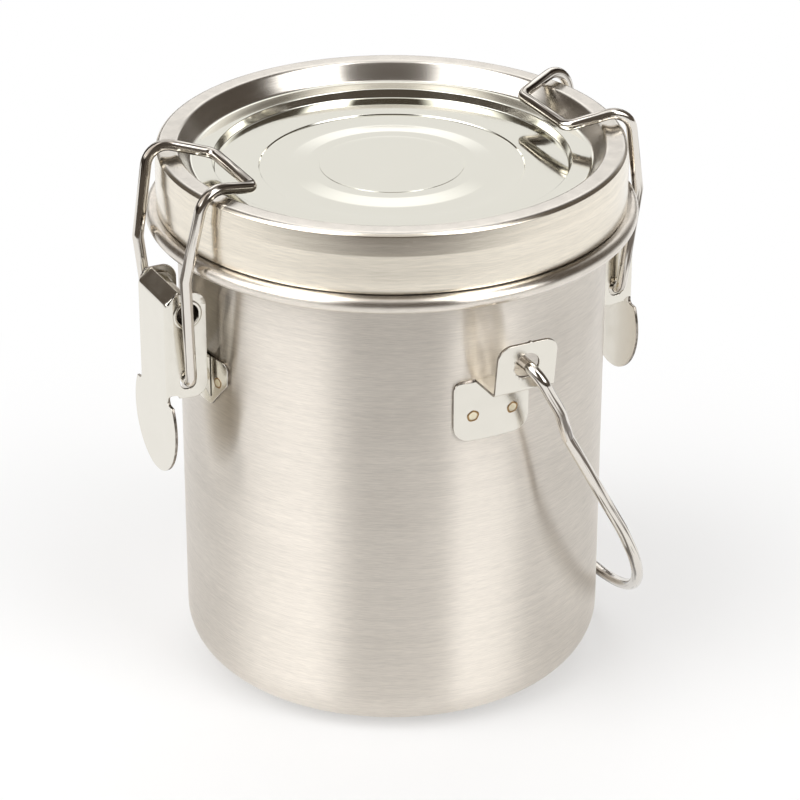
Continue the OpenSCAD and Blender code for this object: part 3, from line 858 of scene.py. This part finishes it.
for sideName, side in (("front", 1), ("rear", -1)):
    made = earSheet(sideName + "EarSheet", side)
    weldSeams(made)
    sheetPiece(made, "canister", sideName + "_handle_ear")
print("ears folded")

bracket = {"sheet": 0.8, "width": 33.6, "foot": 18.0, "low": 91.2, "waist": 99.5, "top": 105.9,
           "corner": 1.5, "earW": 18.6, "earR": 4.7, "hole": 7.1, "edge": 0.14}


def bracketPlate(name, side):
    d = bracket
    w, f = d["width"] / 2, d["foot"] / 2
    half = [(f, d["low"]), (w - 0.3, d["waist"]), (w, d["top"] - d["corner"]), (w - d["corner"], d["top"])]
    outline = half + [(-x, z) for x, z in reversed(half)]
    made = flatSheet(name, [roundedLoop(outline, [1.0] * 8, 4)], d["sheet"], d["edge"])
    sliceSheet(made, 0, spread(-16, 16, 1.0))
    mid = can["radius"] + d["sheet"] / 2

    def rule(y, z, t):
        # y is measured across, as on the solid, so the plate's width stays as built
        a = math.asin(y / mid)
        return (side * (mid + t) * math.cos(a), side * (mid + t) * math.sin(a), z)
    bendSheet(made, rule)
    return made


def bracketEar(name, side, y):
    d = bracket
    u, z = lever["hinge"]
    r = can["radius"]
    points = [(r + 0.3, 93.5), (r + 1.6, 96.5), (u + 3.5, z - 3.1)]
    points += arcPoints((u, z), d["earR"], -41, 153, 16)
    points += [(r + 2.4, 107.0), (r + 0.3, 105.5)]
    made = flatSheet(name, [points, circleLoop(u, z, d["hole"] / 2)], d["sheet"], d["edge"])

    def rule(pu, pz, t):
        return (side * pu, side * (y + t), pz)
    bendSheet(made, rule)
    return made


for sideName, side in sides:
    parts = [bracketPlate(sideName + "BracketSheet", side)]
    earY = bracket["earW"] / 2 - bracket["sheet"] / 2
    for y in (earY, -earY):
        parts.append(bracketEar(sideName + "BracketEar", side, y))
    work = bmesh.new()
    for part in parts:
        work.from_mesh(part.data)
    bmesh.ops.recalc_face_normals(work, faces=work.faces)
    work.to_mesh(parts[0].data)
    work.free()
    for part in parts[1:]:
        bpy.data.objects.remove(part)
    sheetPiece(parts[0], "canister", sideName + "_latch_bracket")
print("brackets made")

pin = {"diameter": 7.2, "wall": 0.45, "flange": 0.6, "flangeT": 0.3, "halfLength": 10.55, "mouth": 0.35}


def pinPiece(name, side):
    # a hollow pin with a bell mouth and a small flange at each end
    d = pin
    outer, inner = d["diameter"] / 2, d["diameter"] / 2 - d["wall"]
    end = d["halfLength"] + d["flangeT"]
    lip, mouth = outer + d["flange"], d["mouth"]
    profile = [(inner, 0), (inner, end - mouth)]
    profile += arcPoints((inner + mouth, end - mouth), mouth, 180, 90, 5)
    profile += [(lip - 0.15, end), (lip, end - 0.1), (lip, d["halfLength"] + 0.02),
                (outer, d["halfLength"]), (outer, 0)]
    line = profile + [(r, -z) for r, z in reversed(profile)][1:-1]
    made = turnedPiece(name, line, sheetSteel, True, 64, 3.4)
    made.data.materials.append(edgeAndShadeSteel)
    # the bore takes the dark edge colour: painted shade inside the hollow pin
    for face in made.data.polygons:
        face.material_index = 1 if math.hypot(face.center.x, face.center.y) < (inner + 0.1) * mm else 0
    u, z = lever["hinge"]
    place = Matrix.Translation((side * u * mm, 0, z * mm))
    made.data.transform(place @ Matrix.Rotation(math.pi / 2, 4, "X"))
    return made


for sideName, side in sides:
    made = pinPiece(sideName + "HollowPin", side)
    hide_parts(sideName + "_latch_pin")
    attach(made, "canister")

weld = {"radius": 1.9, "proud": 0.15, "steps": 40, "earX": 6.0, "earZ": 98.6, "bracketY": 12.6,
        "bracketZ": 99.0,
        # share of the radius, and height as a share of how proud the mark stands
        "rings": [(0.0, 0.35), (0.3, 0.3), (0.55, 0.35), (0.7, 0.75), (0.8, 1.0), (0.9, 0.8), (1.0, -0.6)]}


def weldMark():
    d = weld
    steps, rings = d["steps"], d["rings"]
    vertices, faces, radii = [], [], []
    for share, height in rings:
        for i in range(steps):
            a = 2 * math.pi * i / steps
            wobble = 1 + 0.05 * math.sin(2 * a + 0.6) + 0.03 * math.sin(5 * a)    # never quite round
            r = d["radius"] * share * (wobble if share > 0.4 else 1) * 0.94
            vertices.append((r * math.cos(a) * mm, r * math.sin(a) * mm, height * d["proud"] * mm))
            radii.append(share)
    for k in range(len(rings) - 1):
        for i in range(steps):
            j = (i + 1) % steps
            faces.append((k * steps + i, k * steps + j, (k + 1) * steps + j, (k + 1) * steps + i))
    made = meshObject("weldMark", vertices, faces)
    mark = made.data.attributes.new("weldRadius", "FLOAT", "POINT")
    mark.data.foreach_set("value", radii)
    weldSeams(made)
    if sum(face.normal.z for face in made.data.polygons) < 0:
        made.data.flip_normals()
    return smoothShade(made, 80)


def weldPieces():
    d = weld
    mark = weldMark()
    spots = {}
    for name, side in (("front", -1), ("rear", 1)):
        r = can["radius"] + ear["sheet"]
        spots[name + "_ear_welds"] = [
            (x, side * math.sqrt(r * r - x * x), d["earZ"]) for x in (-d["earX"], d["earX"])]
    for name, side in sides:
        r = can["radius"] + bracket["sheet"]
        spots[name + "_bracket_welds"] = [
            (side * math.sqrt(r * r - y * y), y, d["bracketZ"]) for y in (-d["bracketY"], d["bracketY"])]
    for node, places in spots.items():
        where, holder = node.split("_")[:2]
        made = meshObject(where + holder.capitalize() + "SpotWelds", [Vector(p) * mm for p in places], [])
        turns = made.data.attributes.new("turn", "FLOAT_VECTOR", "POINT")
        for i, (x, y, z) in enumerate(places):
            facing = Vector((x, y, 0)).normalized().to_track_quat("Z", "Y").to_euler()
            turns.data[i].vector = tuple(facing)
        runTree(made, spotWelds, {"Mark": mark, "Finish": weldTint})
        smoothShade(made, 80)
        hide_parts(node)
        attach(made, "canister")
    bpy.data.objects.remove(mark)


weldPieces()
nodes["lid_gasket"].data.materials.clear()
nodes["lid_gasket"].data.materials.append(silicone)
print("pins, welds and gasket done")


stage = {"floorSize": 3.0, "floorDrop": 0.0002, "tableEdge": 0.5, "floorColour": "#e6e6e6",
         "floorRoughness": 0.7, "floorFade": (65, 240), "floorNear": 0.42, "fillPower": 0.5,
         "fillSize": 1.4, "fillHeight": 1.5, "cameraAzimuth": -26.6, "cameraElevation": 26.85,
         "cameraDistance": 0.9522, "target": (0, 0, 0.075), "lens": 149.4, "shift": (0.01025, -0.0016),
         "clip": (0.05, 50)}


def floorPiece():
    # a painted board: matt under the canister, blown out to white farther off
    size, edge, drop = stage["floorSize"], stage["tableEdge"], stage["floorDrop"]
    turn = Matrix.Rotation(math.radians(stage["cameraAzimuth"]), 4, "Z")
    corners = [(-size, -edge), (size, -edge), (size, size), (-size, size)]
    made = meshObject("floor", [turn @ Vector((x, y, -drop)) for x, y in corners], [(0, 1, 2, 3)])
    material, tree = newMaterial("paintedBoard")
    board = addNode(tree, "ShaderNodeBsdfPrincipled", {
        "Base Color": linear(stage["floorColour"]), "Roughness": stage["floorRoughness"]})
    place = addNode(tree, "ShaderNodeTexCoord").outputs["Object"]
    reach = addNode(tree, "ShaderNodeVectorMath", {"operation": "LENGTH"}, {0: place})
    near, away = stage["floorFade"]
    far = addNode(tree, "ShaderNodeMapRange", {
        "interpolation_type": "SMOOTHSTEP", 1: near * mm, 2: away * mm, 3: stage["floorNear"], 4: 1.0}, {
        0: reach.outputs["Value"]})
    # white only to the eye and in mirrors, so that it puts no more light on the canister
    rays = addNode(tree, "ShaderNodeLightPath")
    direct = addNode(tree, "ShaderNodeMath", {"operation": "ADD"}, {
        0: rays.outputs["Is Camera Ray"], 1: rays.outputs["Is Glossy Ray"]})
    seen = addNode(tree, "ShaderNodeMath", {"operation": "ADD", "use_clamp": True}, {
        0: direct, 1: rays.outputs["Is Transmission Ray"]})
    share = addNode(tree, "ShaderNodeMath", {"operation": "MULTIPLY"}, {0: far, 1: seen})
    white = addNode(tree, "ShaderNodeEmission", {"Color": (1, 1, 1, 1), "Strength": 1.0})
    mix = addNode(tree, "ShaderNodeMixShader", {}, {0: share, 1: board, 2: white})
    addNode(tree, "ShaderNodeOutputMaterial", {}, {"Surface": mix})
    made.data.materials.append(material)


# the studio: two tall soft boxes beside the camera, a pale sweep behind the object, a lamp overhead
# and a dim room. Each pair is the degrees over which an edge fades, as azimuth from the camera or as
# elevation; the boxes lean apart towards their tops
studio = {"room": "#857a6f", "roomLevel": 0.4, "boxLevel": 3.8, "boxLean": 0.15, "boxFoot": (12, 22),
          "boxTop": (72, 84), "rightInner": (24, 35), "rightOuter": (64, 82), "leftInner": (14, 42),
          "leftOuter": (70, 108), "sweepSide": (135, 160), "sweepFoot": (8, 13), "sweepLow": (14, 20),
          "sweepHigh": (26, 33), "sweepLevels": (1.35, 0.88, 1.4), "overhead": (60, 70),
          "overheadLevel": 0.92}


def worldLight():
    s = studio
    world = bpy.data.worlds.new("studio")
    bpy.context.scene.world = world
    world.use_nodes = True
    tree = world.node_tree
    tree.nodes.clear()
    place = addNode(tree, "ShaderNodeTexCoord")
    facing = addNode(tree, "ShaderNodeMapping", {
        "vector_type": "POINT", "Rotation": (0, 0, -math.radians(stage["cameraAzimuth"]))}, {
        "Vector": place.outputs["Generated"]})
    split = addNode(tree, "ShaderNodeSeparateXYZ", {}, {0: facing})
    front = addNode(tree, "ShaderNodeMath", {"operation": "MULTIPLY", 1: -1.0}, {0: split.outputs["Y"]})
    azimuth = addNode(tree, "ShaderNodeMath", {"operation": "ARCTAN2"}, {0: split.outputs["X"], 1: front})
    elevation = addNode(tree, "ShaderNodeMath", {"operation": "ARCSINE"}, {0: split.outputs["Z"]})
    mirrored = addNode(tree, "ShaderNodeMath", {"operation": "MULTIPLY", 1: -1.0}, {0: azimuth})
    around = addNode(tree, "ShaderNodeMath", {"operation": "ABSOLUTE"}, {0: azimuth})
    rightLean, leftLean = [
        addNode(tree, "ShaderNodeMath", {"operation": "MULTIPLY_ADD", 1: -s["boxLean"]}, {
            0: elevation, 2: angle}) for angle in (azimuth, mirrored)]

    # each lamp is a list of edges: an angle, where it fades, and the level before and after
    low, middle, high = s["sweepLevels"]
    box = [(elevation, s["boxFoot"], 0, s["boxLevel"]), (elevation, s["boxTop"], 1, 0)]
    sweep = [(around, s["sweepSide"], 0, 1), (elevation, s["sweepFoot"], 0, 1),
             (elevation, s["overhead"], 1, 0)]
    lamps = [
        [(rightLean, s["rightInner"], 0, 1), (azimuth, s["rightOuter"], 1, 0)] + box,
        [(leftLean, s["leftInner"], 0, 1), (mirrored, s["leftOuter"], 1, 0)] + box,
        sweep + [(elevation, s["sweepLow"], low, middle)],
        sweep + [(elevation, s["sweepHigh"], 0, high - middle)],
        [(elevation, s["overhead"], 0, s["overheadLevel"])]]
    white = None
    for edges in lamps:
        glow = None
        for angle, (start, stop), before, after in edges:
            edge = addNode(tree, "ShaderNodeMapRange", {
                "interpolation_type": "SMOOTHSTEP", 1: math.radians(start), 2: math.radians(stop),
                3: before, 4: after}, {0: angle})
            glow = addNode(tree, "ShaderNodeMath", {"operation": "MULTIPLY"}, {
                0: glow, 1: edge}) if glow else edge
        white = addNode(tree, "ShaderNodeMath", {"operation": "ADD"}, {
            0: white, 1: glow}) if white else glow

    room = addNode(tree, "ShaderNodeBackground", {"Strength": s["roomLevel"], "Color": linear(s["room"])})
    bright = addNode(tree, "ShaderNodeBackground", {"Color": (1, 1, 1, 1)}, {"Strength": white})
    light = addNode(tree, "ShaderNodeAddShader", {}, {0: room, 1: bright})
    # the eye sees plain white where metal mirrors the studio
    rays = addNode(tree, "ShaderNodeLightPath")
    seen = addNode(tree, "ShaderNodeBackground", {"Strength": 1.0, "Color": (1, 1, 1, 1)})
    mix = addNode(tree, "ShaderNodeMixShader", {}, {0: rays.outputs["Is Camera Ray"], 1: light, 2: seen})
    addNode(tree, "ShaderNodeOutputWorld", {}, {"Surface": mix})


def fillLamp():
    # lights the floor and the gasket only: mirrors don't show it
    data = bpy.data.lights.new("fill", "AREA")
    data.shape = "DISK"
    data.size = stage["fillSize"]
    data.energy = stage["fillPower"]
    made = newObject("fill", data)
    made.location = (0, 0, stage["fillHeight"])
    made.visible_glossy = False


def cameraPiece():
    s = stage
    a, e = math.radians(s["cameraAzimuth"]), math.radians(s["cameraElevation"])
    away = Vector((math.sin(a) * math.cos(e), -math.cos(a) * math.cos(e), math.sin(e)))
    data = bpy.data.cameras.new("camera")
    data.sensor_width = 36
    data.lens = s["lens"]
    data.shift_x, data.shift_y = s["shift"]
    data.clip_start, data.clip_end = s["clip"]
    made = newObject("camera", data)
    made.location = Vector(s["target"]) + away * s["cameraDistance"]
    made.rotation_euler = away.to_track_quat("Z", "Y").to_euler()
    bpy.context.scene.camera = made


floorPiece()
worldLight()
fillLamp()
cameraPiece()
bpy.context.scene.view_settings.view_transform = "Standard"
print("stage set")
